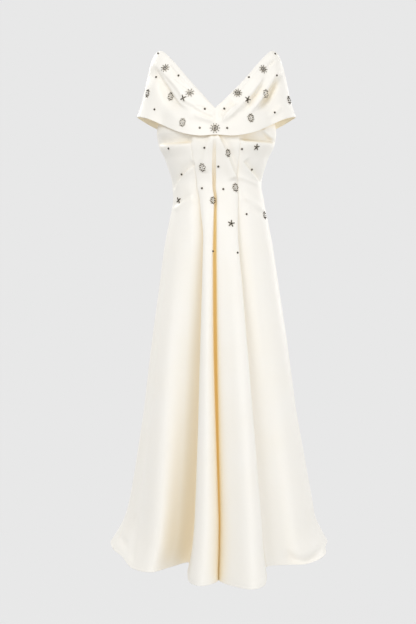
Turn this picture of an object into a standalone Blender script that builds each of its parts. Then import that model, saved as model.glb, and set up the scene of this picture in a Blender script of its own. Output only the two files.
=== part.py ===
"""Off-shoulder evening gown in ivory satin, hollow and shaped as it is worn.

Metres, +Z up. The front faces -Y, and +X is on the right of someone who looks at the front.
The origin is the middle of the chest at underarm height, where the wearer's body holds the gown.
The cloth is a thin wall. Each cut piece runs from the top edge to the hem in one length.
"""

from collections import namedtuple
from functools import lru_cache
from math import atan2, cos, exp, hypot, pi, radians, sin

import bmesh
import bpy
from mathutils import Matrix, Vector
from mathutils.bvhtree import BVHTree

# Driving sizes
CLOTH_WALL = 0.002
COLLAR_WALL = 0.003
SEAM_GAP = 0.0003
COLLAR_CLEARANCE = 0.0006
MOTIF_CLEARANCE = 0.0003
TOP_LEVEL = 0.020
WAIST_LEVEL = -0.163
HIP_LEVEL = -0.330
HEM_LEVEL = -1.220
CENTER_FRONT = -0.005
UNDER_COLLAR = 0.003
TUCK_FROM = -0.018
TUCK_RUN = 0.030
NECK_DIP = 0.014
FOLD_GROWTH = 1.1

# Plan of the collar's lower edge, which says where outward is, and how soon its middle settles
COLLAR_HALF_WIDTH = 0.225
COLLAR_HALF_DEPTH = 0.125
SETTLED_STATION = 2.5
LOW_PULL = 0.35

# Rows of the wall's grid from the top edge to the waist, the hip and the hem
ROWS = (6, 4, 9)

# The plain form without its folds: middle, half width, and depth of the front and of the back
Section = namedtuple("Section", "height middle half_width front back")
SECTIONS = (
    Section(0.030, 0.0, 0.168, 0.114, 0.098),
    Section(0.000, 0.0, 0.171, 0.121, 0.100),
    Section(-0.045, 0.0, 0.165, 0.123, 0.098),
    Section(-0.090, 0.0, 0.145, 0.112, 0.090),
    Section(-0.163, 0.001, 0.127, 0.092, 0.082),
    Section(-0.206, 0.006, 0.130, 0.094, 0.088),
    Section(-0.263, 0.006, 0.141, 0.101, 0.103),
    Section(-0.330, 0.006, 0.154, 0.109, 0.121),
    Section(-0.435, 0.007, 0.169, 0.121, 0.141),
    Section(-0.606, 0.008, 0.194, 0.140, 0.172),
    Section(-0.835, 0.009, 0.224, 0.165, 0.213),
    Section(-1.064, 0.008, 0.257, 0.188, 0.258),
    Section(-1.140, 0.005, 0.270, 0.196, 0.275),
    Section(-1.220, 0.0, 0.300, 0.205, 0.292),
)

# One row for each crest, valley or seam of the skirt, from the back seam round the left side.
# The angles say where the line runs on the plain form: 0 is the front, 90 is +X.
# hem_x and hem_y are its place at the hem, begins is the height where it leaves the plain form,
# and lift raises the hem there.
Line = namedtuple("Line", "name top waist hip hem_x hem_y begins lift")
LINES = (
    Line("seam_back", -180, -180, -180, 0.000, 0.300, -0.30, 0.000),
    Line("back_left_crest", -166, -166, -166, -0.072, 0.345, -0.30, 0.000),
    Line("seam_back_left", -152, -150, -152, -0.138, 0.272, -0.30, 0.004),
    Line("back_left_lobe", -136, -134, -137, -0.196, 0.292, -0.30, 0.000),
    Line("back_left_valley", -120, -118, -122, -0.236, 0.212, -0.35, 0.003),
    Line("left_flip", -106, -104, -108, -0.311, 0.180, -0.92, 0.000),
    Line("seam_side_left", -90, -90, -90, -0.304, 0.062, -0.80, 0.000),
    Line("left_valley", -73, -74, -76, -0.272, -0.030, -0.35, 0.002),
    Line("left_lobe_edge", -61, -62, -62, -0.228, -0.158, -0.35, 0.000),
    Line("left_lobe", -49, -50, -48, -0.180, -0.192, -0.30, 0.000),
    Line("left_slope", -37, -38, -31, -0.130, -0.152, -0.25, 0.003),
    Line("seam_front_left", -25, -28, -17.6, -0.080, -0.130, -0.10, 0.010),
    Line("left_fold_wall", -23, -26, -17.0, -0.079, -0.180, -0.10, -0.004),
    Line("left_fold_edge", -18, -21, -15.3, -0.071, -0.246, -0.10, -0.013),
    Line("left_fold", -11, -13, -11.0, -0.042, -0.268, -0.08, -0.015),
    Line("left_lip", -4.4, -6.2, -6.7, -0.001, -0.236, -0.05, -0.013),
    Line("slit_left", -3.0, -4.8, -5.0, 0.001, -0.135, -0.05, -0.008),
    Line("slit_right", -1.6, -3.6, -3.4, 0.004, -0.135, -0.05, -0.008),
    Line("right_lip", -0.2, -2.2, -2.2, 0.0065, -0.226, -0.05, -0.013),
    Line("right_slope", 3.5, 4.0, 5.2, 0.048, -0.274, -0.06, -0.015),
    Line("right_fold", 9, 11, 11.0, 0.091, -0.298, -0.08, -0.015),
    Line("right_fold_edge", 15, 20, 17.6, 0.122, -0.276, -0.10, -0.013),
    Line("right_fold_wall", 19, 24.6, 19.4, 0.133, -0.218, -0.10, -0.004),
    Line("seam_front_right", 20.5, 26.5, 20.4, 0.137, -0.170, -0.10, 0.008),
    Line("right_slope_side", 36, 38, 38, 0.202, -0.128, -0.25, 0.003),
    Line("right_lobe", 50, 51, 53, 0.245, -0.112, -0.30, 0.000),
    Line("right_lobe_edge", 63, 64, 65, 0.284, -0.070, -0.35, 0.000),
    Line("right_side", 77, 77, 78, 0.315, 0.000, -0.80, 0.000),
    Line("seam_side_right", 90, 90, 90, 0.322, 0.075, -0.80, 0.000),
    Line("right_flip", 106, 104, 108, 0.332, 0.185, -0.92, 0.000),
    Line("back_right_valley", 120, 118, 122, 0.252, 0.215, -0.35, 0.003),
    Line("back_right_lobe", 136, 134, 137, 0.205, 0.298, -0.30, 0.000),
    Line("seam_back_right", 152, 150, 152, 0.142, 0.268, -0.30, 0.004),
    Line("back_right_crest", 166, 166, 166, 0.078, 0.338, -0.30, 0.000),
)

# The cut pieces of the bodice and skirt: the seam lines on their two sides, and grid steps a line
Panel = namedtuple("Panel", "name start end steps")
PANELS = (
    Panel("back_center_left", "seam_back", "seam_back_left", 4),
    Panel("back_side_left", "seam_back_left", "seam_side_left", 3),
    Panel("front_side_left", "seam_side_left", "seam_front_left", 3),
    Panel("front_center", "seam_front_left", "seam_front_right", 3),
    Panel("front_side_right", "seam_front_right", "seam_side_right", 3),
    Panel("back_side_right", "seam_side_right", "seam_back_right", 3),
    Panel("back_center_right", "seam_back_right", "seam_back", 4),
)

# The collar's half, from the centre front over the arm to the centre back. The neck point is on
# the folded upper edge and the low point on the lower edge. roll is how far the upper edge turns
# outward, and hollow is how far the lower part draws in.
Station = namedtuple("Station", "name neck_x neck_y neck_z low_x low_y low_z roll hollow")
STATIONS = (
    Station("center_front", 0.000, -0.113, 0.043, 0.000, -0.126, -0.031, 0.012, 0.000),
    Station("inner_front", 0.038, -0.098, 0.084, 0.046, -0.122, -0.033, 0.017, 0.000),
    Station("front", 0.079, -0.074, 0.131, 0.098, -0.102, -0.022, 0.022, 0.000),
    Station("outer_front", 0.120, -0.043, 0.183, 0.145, -0.068, 0.001, 0.027, 0.001),
    Station("shoulder_front", 0.150, -0.014, 0.216, 0.195, -0.042, 0.025, 0.032, 0.003),
    Station("arm", 0.160, 0.012, 0.222, 0.2275, 0.008, 0.036, 0.036, 0.006),
    Station("shoulder_back", 0.148, 0.040, 0.209, 0.216, 0.060, 0.032, 0.032, 0.005),
    Station("outer_back", 0.118, 0.068, 0.166, 0.180, 0.098, 0.016, 0.024, 0.003),
    Station("back", 0.078, 0.088, 0.110, 0.120, 0.112, -0.003, 0.017, 0.000),
    Station("inner_back", 0.038, 0.096, 0.069, 0.058, 0.116, -0.013, 0.013, 0.000),
    Station("center_back", 0.000, 0.098, 0.052, 0.000, 0.117, -0.017, 0.010, 0.000),
)
COLLAR_STEPS = 3
COLLAR_ROWS = 12

# Draped folds of the collar, as three places on the front: a groove has a negative height
CollarFold = namedtuple("CollarFold", "name x0 z0 x1 z1 x2 z2 height width")
COLLAR_FOLDS = (
    CollarFold("left_outer_edge", -0.182, 0.175, -0.156, 0.100, -0.104, 0.014, 0.0035, 0.008),
    CollarFold("left_outer_groove", -0.168, 0.172, -0.142, 0.102, -0.092, 0.020, -0.0045, 0.007),
    CollarFold("left_ridge", -0.164, 0.190, -0.119, 0.106, -0.050, 0.048, 0.0035, 0.008),
    CollarFold("left_groove", -0.150, 0.135, -0.116, 0.086, -0.024, 0.020, -0.0045, 0.006),
    CollarFold("right_deep_groove", 0.188, 0.150, 0.144, 0.088, 0.092, 0.020, -0.0060, 0.007),
    CollarFold("right_deep_ridge", 0.184, 0.174, 0.132, 0.098, 0.082, 0.030, 0.0040, 0.009),
    CollarFold("right_groove", 0.136, 0.122, 0.104, 0.076, 0.052, 0.030, -0.0045, 0.006),
    CollarFold("right_ridge", 0.120, 0.124, 0.090, 0.082, 0.040, 0.038, 0.0035, 0.008),
    CollarFold("right_low_groove", 0.056, 0.046, 0.032, 0.022, 0.006, -0.003, -0.0030, 0.005),
)

# Sewn-on crystal motifs: place on the front, distance across, number of petals
Motif = namedtuple("Motif", "name x z across petals")
MOTIFS = (
    Motif("brooch", -0.005, -0.0145, 0.0290, 10),
    Motif("rosette_1", -0.144, 0.164, 0.0260, 9),
    Motif("rosette_2", 0.130, 0.1595, 0.0260, 9),
    Motif("rosette_3", -0.074, 0.087, 0.0260, 9),
    Motif("rosette_4", 0.057, 0.0865, 0.0260, 9),
    Motif("cluster_1", -0.195, 0.098, 0.0210, 6),
    Motif("cluster_2", -0.128, 0.083, 0.0210, 6),
    Motif("cluster_3", -0.0945, 0.005, 0.0210, 6),
    Motif("cluster_4", 0.136, 0.089, 0.0210, 6),
    Motif("cluster_5", 0.0935, 0.0175, 0.0210, 6),
    Motif("cluster_6", 0.2055, 0.081, 0.0210, 6),
    Motif("cluster_7", 0.030, -0.080, 0.0210, 6),
    Motif("cluster_8", -0.0405, -0.1185, 0.0210, 6),
    Motif("cluster_9", 0.052, -0.172, 0.0210, 6),
    Motif("cluster_10", -0.0105, -0.208, 0.0180, 6),
    Motif("cluster_11", 0.1355, -0.246, 0.0210, 6),
    Motif("cross_1", -0.093, 0.073, 0.0180, 4),
    Motif("cross_2", 0.085, 0.0685, 0.0180, 4),
    Motif("cross_3", 0.110, -0.061, 0.0180, 5),
    Motif("cross_4", -0.107, -0.2045, 0.0180, 4),
    Motif("cross_5", 0.0395, -0.2725, 0.0180, 5),
)
MOTIF_HEIGHT = 0.0022
MOTIF_DOME = 0.0016
PETAL_NOTCH = 0.62

COLLECTION = "off_shoulder_gown"
IVORY_SATIN = ("ivory_satin", (0.87, 0.82, 0.72, 1.0), 0.45, 0.0)
CRYSTAL = ("crystal_in_dark_metal", (0.42, 0.42, 0.41, 1.0), 0.22, 0.6)


def blend(knots, values, at):
    """Read a smooth curve through values at falling knots, with no overshoot between them."""
    if at >= knots[0]:
        return values[0]
    if at <= knots[-1]:
        return values[-1]
    spans = [knots[i + 1] - knots[i] for i in range(len(knots) - 1)]
    slopes = [(values[i + 1] - values[i]) / spans[i] for i in range(len(spans))]
    tangents = [slopes[0]]
    for before, after in zip(slopes, slopes[1:]):
        same_way = before * after > 0
        tangents.append(2 * before * after / (before + after) if same_way else 0.0)
    tangents.append(slopes[-1])
    i = next(k for k in range(len(spans)) if at >= knots[k + 1])
    t = (at - knots[i]) / spans[i]
    rise = values[i + 1] - values[i]
    start = tangents[i] * spans[i]
    end = tangents[i + 1] * spans[i]
    return values[i] + t * (start + t * (3 * rise - 2 * start - end + t * (start + end - 2 * rise)))


def through(before, start, end, after, t):
    """Read a centripetal Catmull-Rom curve between start and end."""
    knots = [0.0]
    for one, two in ((before, start), (start, end), (end, after)):
        knots.append(knots[-1] + max((two - one).length, 1e-7) ** 0.5)
    _, k1, k2, k3 = knots
    at = k1 + (k2 - k1) * t
    a1 = before.lerp(start, at / k1)
    a2 = start.lerp(end, (at - k1) / (k2 - k1))
    a3 = end.lerp(after, (at - k2) / (k3 - k2))
    b1 = a1.lerp(a2, at / k2)
    b2 = a2.lerp(a3, (at - k1) / (k3 - k1))
    return b1.lerp(b2, (at - k1) / (k2 - k1))


def section_at(height):
    """Middle, half width, front depth and back depth of the plain form."""
    heights = [row.height for row in SECTIONS]
    columns = zip(*(row[1:] for row in SECTIONS))
    return [blend(heights, column, height) for column in columns]


def plain_point(angle, height):
    """Plan point of the plain form at an angle from the centre front."""
    middle, half_width, front, back = section_at(height)
    depth = front if cos(angle) > 0 else back
    return Vector((middle + half_width * sin(angle), -depth * cos(angle)))


def hem_angle(line):
    """Angle of the plain form that lies under a line's place at the hem."""
    middle, half_width, front, back = section_at(HEM_LEVEL)
    depth = front if line.hem_y < 0 else back
    angle = atan2((line.hem_x - middle) / half_width, -line.hem_y / depth)
    return angle - 2 * pi if line.top == -180 and angle > 0 else angle


def line_point(line, height):
    """Point of a crest, valley or seam line at a height."""
    at_hem = hem_angle(line)
    knots = (TOP_LEVEL, WAIST_LEVEL, HIP_LEVEL, HEM_LEVEL)
    angles = (radians(line.top), radians(line.waist), radians(line.hip), at_hem)
    angle = blend(knots, angles, height)
    grown = max(0.0, (line.begins - height) / (line.begins - HEM_LEVEL)) ** FOLD_GROWTH
    offset = Vector((line.hem_x, line.hem_y)) - plain_point(at_hem, HEM_LEVEL)
    plan = plain_point(angle, height) + offset * grown
    return Vector((plan.x, plan.y, height))


def top_height(line):
    """Height of the bodice's top edge, which the collar hides: lowest at the centre front."""
    return TOP_LEVEL - NECK_DIP * max(0.0, cos(radians(line.top))) ** 2


@lru_cache(maxsize=None)
def ring_at(row):
    """Control points of the ring at a row, which counts grid rows from the top edge."""
    bodice, hip, skirt = ROWS
    points = []
    for line in LINES:
        levels = (top_height(line), WAIST_LEVEL, HIP_LEVEL, HEM_LEVEL + line.lift)
        if row <= bodice:
            height = levels[0] + (levels[1] - levels[0]) * row / bodice
        elif row <= bodice + hip:
            height = levels[1] + (levels[2] - levels[1]) * (row - bodice) / hip
        else:
            height = levels[2] + (levels[3] - levels[2]) * (row - bodice - hip) / skirt
        points.append(line_point(line, height))
    return tuple(points)


def body_point(across, row):
    """Point of the body's outer surface; across counts lines from the back seam."""
    ring = ring_at(row)
    i = int(across // 1)
    count = len(ring)
    four = [ring[(i + k) % count] for k in (-1, 0, 1, 2)]
    return through(*four, across - i)


def body_frame(across, row):
    """Direction across the cloth and outward normal in plan at a point of the body."""
    step = 0.02
    along = body_point(across + step, row) - body_point(across - step, row)
    last = sum(ROWS)
    down = body_point(across, min(row + 0.25, last)) - body_point(across, max(row - 0.25, 0))
    tangent = along.normalized()
    normal = down.cross(along).normalized()
    return tangent, normal


def tuck_in(height):
    """How far the bodice's top draws in under the collar."""
    return UNDER_COLLAR * max(0.0, min(1.0, (height - TUCK_FROM) / TUCK_RUN))


def collar_point(side, along, down):
    """Point of the collar's outer surface before its folds.

    along counts stations from the centre front, and down runs from 0 at the neck to 1 below.
    """
    i = min(int(along), len(STATIONS) - 2)
    rows = [STATIONS[min(max(i + k, 0), len(STATIONS) - 1)] for k in (-1, 0, 1, 2)]
    t = along - i
    necks = [Vector((row.neck_x, row.neck_y, row.neck_z)) for row in rows]
    lows = [Vector((row.low_x, row.low_y, row.low_z)) for row in rows]
    shifts = [Vector((row.roll, row.hollow, 0)) for row in rows]
    if i == 0:
        for points in (necks, lows):
            points[0] = Vector((-points[2].x, points[2].y, points[2].z))
        necks[0] = necks[1] * 2 - necks[2]
    if i == len(STATIONS) - 2:
        for points in (necks, lows):
            points[3] = Vector((-points[1].x, points[1].y, points[1].z))
    neck = through(*necks, t)
    low = through(*lows, t)
    roll, hollow, _ = shifts[1].lerp(shifts[2], t)
    out = Vector((low.x / COLLAR_HALF_WIDTH ** 2, low.y / COLLAR_HALF_DEPTH ** 2, 0)).normalized()
    near_neck = neck + out * roll
    near_low = low + (neck - low) * LOW_PULL - out * hollow
    rest = 1 - down
    point = neck * rest ** 3 + near_neck * (3 * rest ** 2 * down)
    point += near_low * (3 * rest * down ** 2) + low * down ** 3
    point.x = side * point.x + CENTER_FRONT * max(0.0, 1 - along / SETTLED_STATION) ** 2
    return point


def fold_height(point):
    """How far the collar's folds stand out or draw in at a point of its front."""
    total = 0.0
    for fold in COLLAR_FOLDS:
        nearest = 1.0
        share = 0.0
        for k in range(13):
            t = k / 12
            x = (1 - t) ** 2 * fold.x0 + 2 * t * (1 - t) * fold.x1 + t ** 2 * fold.x2
            z = (1 - t) ** 2 * fold.z0 + 2 * t * (1 - t) * fold.z1 + t ** 2 * fold.z2
            distance = hypot(point.x - x, point.z - z)
            if distance < nearest:
                nearest = distance
                share = t
        fade = min(1.0, 0.35 + 2.2 * share, 0.35 + 2.2 * (1 - share))
        total += fold.height * fade * exp(-(nearest / fold.width) ** 2)
    behind = min(1.0, max(0.0, (0.02 - point.y) / 0.03))
    return total * behind


def outside_body(point, clearance):
    """Move a point out to the given distance from the body's plain form, if it is nearer."""
    middle, half_width, front, back = section_at(min(point.z, TOP_LEVEL))
    depth = front if point.y < 0 else back
    across = point.x - middle
    reach = hypot(across / (half_width + clearance), point.y / (depth + clearance))
    if point.z > TOP_LEVEL + 0.02 or reach >= 1 or reach < 0.5:
        return point
    return Vector((middle + across / reach, point.y / reach, point.z))


def collar_frame(side, along, down):
    """Direction along the collar and outward normal at a point."""
    end = len(STATIONS) - 1
    fore = collar_point(side, min(along + 0.05, end), down)
    aft = collar_point(side, max(along - 0.05, 0), down)
    lower = collar_point(side, along, min(down + 0.02, 1))
    upper = collar_point(side, along, max(down - 0.02, 0))
    run = fore - aft
    normal = (lower - upper).cross(run).normalized() * side
    return run.normalized(), normal


def make_material(name, color, roughness, metallic):
    """Principled material with the piece's plain colour."""
    material = bpy.data.materials.new(name)
    material.use_nodes = True
    shader = material.node_tree.nodes["Principled BSDF"]
    shader.inputs["Base Color"].default_value = color
    shader.inputs["Roughness"].default_value = roughness
    shader.inputs["Metallic"].default_value = metallic
    return material


def make_object(name, bm, material, collection):
    """Turn a finished bmesh into a named, smooth-shaded object."""
    bmesh.ops.recalc_face_normals(bm, faces=bm.faces[:])
    if bm.calc_volume(signed=True) < 0:
        bmesh.ops.reverse_faces(bm, faces=bm.faces[:])
    mesh = bpy.data.meshes.new(name)
    bm.to_mesh(mesh)
    bm.free()
    mesh.materials.append(material)
    mesh.shade_smooth()
    mesh.set_sharp_from_angle(angle=radians(40))
    made = bpy.data.objects.new(name, mesh)
    collection.objects.link(made)
    return made


def walled_grid(columns, rows, place):
    """Closed wall over a grid; place(column, row, inner) gives the point of each corner."""
    bm = bmesh.new()
    bmesh.ops.create_grid(bm, x_segments=columns, y_segments=rows, size=1.0)
    made = bmesh.ops.extrude_face_region(bm, geom=bm.faces[:], use_keep_orig=True)
    inner = {v for v in made["geom"] if isinstance(v, bmesh.types.BMVert)}
    for vert in bm.verts:
        column = round((vert.co.x + 1) / 2 * columns)
        row = round((vert.co.y + 1) / 2 * rows)
        vert.co = place(column, row, vert in inner)
    return bm


def make_panel(panel, material, collection):
    """One cut length of the bodice and skirt, between two seam lines."""
    names = [line.name for line in LINES]
    start = names.index(panel.start)
    end = names.index(panel.end) or len(names)
    columns = (end - start) * panel.steps

    def place(column, row, inner):
        across = start + column / panel.steps
        point = body_point(across, row)
        tangent, normal = body_frame(across, row)
        if column == 0:
            point += tangent * (SEAM_GAP / 2)
        if column == columns:
            point -= tangent * (SEAM_GAP / 2)
        depth = tuck_in(point.z) + (CLOTH_WALL if inner else 0.0)
        return point - normal * depth

    return make_object(panel.name, walled_grid(columns, sum(ROWS), place), material, collection)


def make_collar(name, side, material, collection):
    """One half of the doubled collar, from the centre front over the arm to the centre back."""
    end = len(STATIONS) - 1
    columns = end * COLLAR_STEPS

    def place(column, row, inner):
        along = column / COLLAR_STEPS
        down = row / COLLAR_ROWS
        point = collar_point(side, along, down)
        run, normal = collar_frame(side, along, down)
        point += normal * fold_height(point)
        if inner:
            point -= normal * COLLAR_WALL
        body_gap = COLLAR_CLEARANCE + (0.0 if inner else COLLAR_WALL)
        point = outside_body(point, body_gap)
        middle = CENTER_FRONT if along < SETTLED_STATION else 0.0
        if column in (0, columns):
            point.x = middle + side * SEAM_GAP / 2
        return point

    return make_object(name, walled_grid(columns, COLLAR_ROWS, place), material, collection)


def make_motif(motif, cloth, material, collection):
    """A crystal motif: a low star-shaped dome that lies on the cloth."""
    radius = motif.across / 2
    hits = []
    for reach in (0.0, 0.35, 0.7, 1.0):
        for step in range(8 if reach else 1):
            angle = step * pi / 4
            aside = Vector((cos(angle), 0, sin(angle))) * (reach * radius)
            start = Vector((motif.x, -1, motif.z)) + aside
            place, normal, _, _ = cloth.ray_cast(start, Vector((0, 1, 0)))
            if place is not None and (not hits or abs(place.y - hits[0][0].y) < motif.across):
                hits.append((place, normal))
    outward = sum((normal for _, normal in hits), Vector()).normalized()
    center = hits[0][0]
    proud = max((place - center).dot(outward) for place, _ in hits)
    bm = bmesh.new()
    bmesh.ops.create_circle(bm, cap_ends=True, segments=2 * motif.petals, radius=radius)
    for vert in bm.verts:
        step = round(atan2(vert.co.y, vert.co.x) / pi * motif.petals)
        if step % 2:
            vert.co *= PETAL_NOTCH
    made = bmesh.ops.extrude_face_region(bm, geom=bm.faces[:], use_keep_orig=True)
    top = [item for item in made["geom"] if isinstance(item, bmesh.types.BMFace)]
    raised = [item for item in made["geom"] if isinstance(item, bmesh.types.BMVert)]
    bmesh.ops.translate(bm, verts=raised, vec=(0, 0, MOTIF_HEIGHT))
    poked = bmesh.ops.poke(bm, faces=top)
    bmesh.ops.translate(bm, verts=poked["verts"], vec=(0, 0, MOTIF_DOME))
    turn = outward.to_track_quat("Z", "Y").to_matrix().to_4x4()
    move = Matrix.Translation(center + outward * (proud + MOTIF_CLEARANCE))
    bmesh.ops.transform(bm, matrix=move @ turn, verts=bm.verts)
    return make_object(motif.name, bm, material, collection)


def cloth_tree(objects):
    """Search tree over the cloth pieces that carry the motifs."""
    bm = bmesh.new()
    for made in objects:
        bm.from_mesh(made.data)
    tree = BVHTree.FromBMesh(bm)
    bm.free()
    return tree


def build():
    """Make every piece of the gown in one collection."""
    for existing in list(bpy.data.objects):
        bpy.data.objects.remove(existing, do_unlink=True)
    collection = bpy.data.collections.new(COLLECTION)
    bpy.context.scene.collection.children.link(collection)
    satin = make_material(*IVORY_SATIN)
    crystal = make_material(*CRYSTAL)
    cloth = [make_panel(panel, satin, collection) for panel in PANELS]
    cloth.append(make_collar("collar_left", -1, satin, collection))
    cloth.append(make_collar("collar_right", 1, satin, collection))
    tree = cloth_tree(cloth)
    for motif in MOTIFS:
        make_motif(motif, tree, crystal, collection)


build()
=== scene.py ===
"""Looks of an off-shoulder evening gown: ivory satin, folds, seams, hems and sewn-on crystals.

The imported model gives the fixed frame. Each cut piece of cloth is a thin, finely folded shell in
the place of its solid, and each crystal motif is a spray of set stones in the place of its dome.
Metres, +Z up, the front faces -Y, and left is the side of -X as one looks at the front.
"""

import logging
from dataclasses import dataclass, field
from enum import Enum
from math import atan2, cos, pi, radians, sin, tau

import bmesh
import bpy
import numpy as np
from mathutils import Matrix, Vector
from mathutils.bvhtree import BVHTree


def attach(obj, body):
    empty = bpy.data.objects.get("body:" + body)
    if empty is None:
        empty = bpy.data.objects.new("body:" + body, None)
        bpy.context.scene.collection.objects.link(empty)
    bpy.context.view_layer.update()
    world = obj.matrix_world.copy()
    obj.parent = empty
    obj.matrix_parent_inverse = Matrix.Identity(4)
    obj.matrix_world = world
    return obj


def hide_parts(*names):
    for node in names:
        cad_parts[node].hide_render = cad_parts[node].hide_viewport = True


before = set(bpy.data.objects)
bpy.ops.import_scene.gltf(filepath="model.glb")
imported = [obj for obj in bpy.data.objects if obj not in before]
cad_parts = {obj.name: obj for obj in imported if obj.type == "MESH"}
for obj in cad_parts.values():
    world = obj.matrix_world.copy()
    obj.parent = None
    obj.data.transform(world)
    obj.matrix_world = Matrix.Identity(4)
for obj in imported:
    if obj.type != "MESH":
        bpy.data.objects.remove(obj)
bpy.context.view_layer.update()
LOG = logging.getLogger("gown")
Array = np.ndarray
BODY = "root"

# Heights of the gown's main lines
TOP_LEVEL = 0.020
WAIST_LEVEL = -0.163
HIP_LEVEL = -0.330
HEM_LEVEL = -1.220
CENTER_FRONT = -0.005
MM = 0.001


class Side(Enum):
    """Which face of the gown a crease lies on."""

    FRONT = -1
    BACK = 1


class Spray(Enum):
    """How the stones of a motif are laid out."""

    BROOCH = "brooch"
    STARBURST = "starburst"
    WREATH = "wreath"
    CROSS = "cross"


class Hold(Enum):
    """How a sheet of cloth is held."""

    HUNG = "hung"
    DRAPED = "draped"


@dataclass(frozen=True)
class Section:
    """The plain form without folds at one height, in metres."""

    height: float
    middle: float
    half_width: float
    front: float
    back: float


@dataclass(frozen=True)
class Line:
    """A crest, valley or seam that runs from the top edge to the hem.

    The angles say where it runs on the plain form: 0 is the front and 90 is +X. begins is the
    height where it leaves the plain form, and lift raises the hem there.
    """

    name: str
    top: float
    waist: float
    hip: float
    hem_x: float
    hem_y: float
    begins: float
    lift: float


@dataclass(frozen=True)
class Station:
    """One profile of the collar's half, from its folded neck edge to its lower edge."""

    name: str
    neck: tuple[float, float, float]
    low: tuple[float, float, float]
    roll: float
    hollow: float


@dataclass(frozen=True)
class Crease:
    """A soft ridge or trough of the cloth, placed in millimetres as seen from the front.

    height is how far it stands out, or in where it is negative. The widths are those of its
    slopes on the left and on the right of the direction in which the path runs.
    """

    name: str
    path: tuple[tuple[float, float], ...]
    height: float
    left: float
    right: float
    side: Side = Side.FRONT
    fade: float = 0.22


@dataclass(frozen=True)
class Cut:
    """A cut piece of cloth between two seam lines, with its flat size in metres."""

    name: str
    start: str
    end: str
    steps: int
    flat: tuple[float, float]
    area: float


@dataclass(frozen=True)
class Motif:
    """A sewn-on crystal motif: its place on the front in metres, its size and its turn."""

    name: str
    spray: Spray
    x: float
    z: float
    across: float
    petals: int
    turn: float = 0.0


SECTIONS = (
    Section(0.030, 0.0, 0.168, 0.114, 0.098),
    Section(0.000, 0.0, 0.171, 0.121, 0.100),
    Section(-0.045, 0.0, 0.165, 0.123, 0.098),
    Section(-0.090, 0.0, 0.145, 0.112, 0.090),
    Section(-0.163, 0.001, 0.127, 0.092, 0.082),
    Section(-0.206, 0.006, 0.130, 0.094, 0.088),
    Section(-0.263, 0.006, 0.141, 0.101, 0.103),
    Section(-0.330, 0.006, 0.154, 0.109, 0.121),
    Section(-0.435, 0.007, 0.169, 0.121, 0.141),
    Section(-0.606, 0.008, 0.194, 0.140, 0.172),
    Section(-0.835, 0.009, 0.224, 0.165, 0.213),
    Section(-1.064, 0.008, 0.257, 0.188, 0.258),
    Section(-1.140, 0.005, 0.270, 0.196, 0.275),
    Section(-1.220, 0.0, 0.300, 0.205, 0.292),
)

LINES = (
    Line("seam_back", -180, -180, -180, 0.000, 0.300, -0.30, 0.000),
    Line("back_left_crest", -166, -166, -166, -0.072, 0.345, -0.30, 0.000),
    Line("seam_back_left", -152, -150, -152, -0.138, 0.272, -0.30, 0.004),
    Line("back_left_lobe", -136, -134, -137, -0.196, 0.292, -0.30, 0.000),
    Line("back_left_valley", -120, -118, -122, -0.236, 0.212, -0.35, 0.003),
    Line("left_flip", -106, -104, -108, -0.311, 0.180, -0.92, 0.000),
    Line("seam_side_left", -90, -90, -90, -0.304, 0.062, -0.80, 0.000),
    Line("left_valley", -73, -74, -76, -0.272, -0.030, -0.35, 0.002),
    Line("left_lobe_edge", -61, -62, -62, -0.228, -0.158, -0.35, 0.000),
    Line("left_lobe", -49, -50, -48, -0.180, -0.192, -0.30, 0.000),
    Line("left_slope", -37, -38, -31, -0.130, -0.152, -0.25, 0.003),
    Line("seam_front_left", -25, -28, -17.6, -0.080, -0.130, -0.10, 0.010),
    Line("left_fold_wall", -23, -26, -17.0, -0.079, -0.180, -0.10, -0.004),
    Line("left_fold_edge", -18, -21, -15.3, -0.071, -0.246, -0.10, -0.013),
    Line("left_fold", -11, -13, -11.0, -0.042, -0.268, -0.08, -0.015),
    Line("left_lip", -4.4, -6.2, -6.7, -0.001, -0.236, -0.05, -0.013),
    Line("slit_left", -3.0, -4.8, -5.0, 0.001, -0.135, -0.05, -0.008),
    Line("slit_right", -1.6, -3.6, -3.4, 0.004, -0.135, -0.05, -0.008),
    Line("right_lip", -0.2, -2.2, -2.2, 0.0065, -0.226, -0.05, -0.013),
    Line("right_slope", 3.5, 4.0, 5.2, 0.048, -0.274, -0.06, -0.015),
    Line("right_fold", 9, 11, 11.0, 0.091, -0.298, -0.08, -0.015),
    Line("right_fold_edge", 15, 20, 17.6, 0.122, -0.276, -0.10, -0.013),
    Line("right_fold_wall", 19, 24.6, 19.4, 0.133, -0.218, -0.10, -0.004),
    Line("seam_front_right", 20.5, 26.5, 20.4, 0.137, -0.170, -0.10, 0.008),
    Line("right_slope_side", 36, 38, 38, 0.202, -0.128, -0.25, 0.003),
    Line("right_lobe", 50, 51, 53, 0.245, -0.112, -0.30, 0.000),
    Line("right_lobe_edge", 63, 64, 65, 0.284, -0.070, -0.35, 0.000),
    Line("right_side", 77, 77, 78, 0.315, 0.000, -0.80, 0.000),
    Line("seam_side_right", 90, 90, 90, 0.322, 0.075, -0.80, 0.000),
    Line("right_flip", 106, 104, 108, 0.332, 0.185, -0.92, 0.000),
    Line("back_right_valley", 120, 118, 122, 0.252, 0.215, -0.35, 0.003),
    Line("back_right_lobe", 136, 134, 137, 0.205, 0.298, -0.30, 0.000),
    Line("seam_back_right", 152, 150, 152, 0.142, 0.268, -0.30, 0.004),
    Line("back_right_crest", 166, 166, 166, 0.078, 0.338, -0.30, 0.000),
)

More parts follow.
